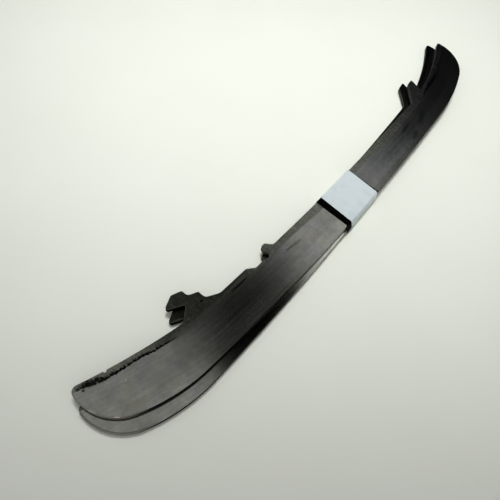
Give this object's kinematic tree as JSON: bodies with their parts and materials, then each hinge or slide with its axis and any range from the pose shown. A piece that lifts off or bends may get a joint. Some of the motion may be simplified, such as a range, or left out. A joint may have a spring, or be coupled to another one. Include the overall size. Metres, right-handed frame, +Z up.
{
  "type": "hockey skate runner pair",
  "caption": "Pair of hook-mounted steel runners for hockey skates, stacked flat and slightly fanned, bound by a black tape band with a wrapped plain label.",
  "frame": {"origin": "under the middle of the tape band, on the surface that the pair lies on", "axes": "+X along the upper runner from toe to heel, +Y to the boot side, +Z up through the stack"},
  "size_m": [0.2978, 0.0431, 0.0072],
  "materials": {
    "runner_steel": "ground and worn, dull grey, darkened towards the heel",
    "tape": "matt black tape",
    "label": "plain laminated label"
  },
  "bodies": {
    "bound_runner": {"upper_runner": "runner_steel", "tape_band": "tape", "label": "label"},
    "fanned_runner": {"lower_runner": "runner_steel"}
  },
  "joints": [
    {"name": "fan_swing", "type": "hinge", "parent": "bound_runner", "child": "fanned_runner", "pos_m": [0, 0, 0], "axis": [0, 0, 1], "range_deg": [-2.3, 0.8]}
  ]
}
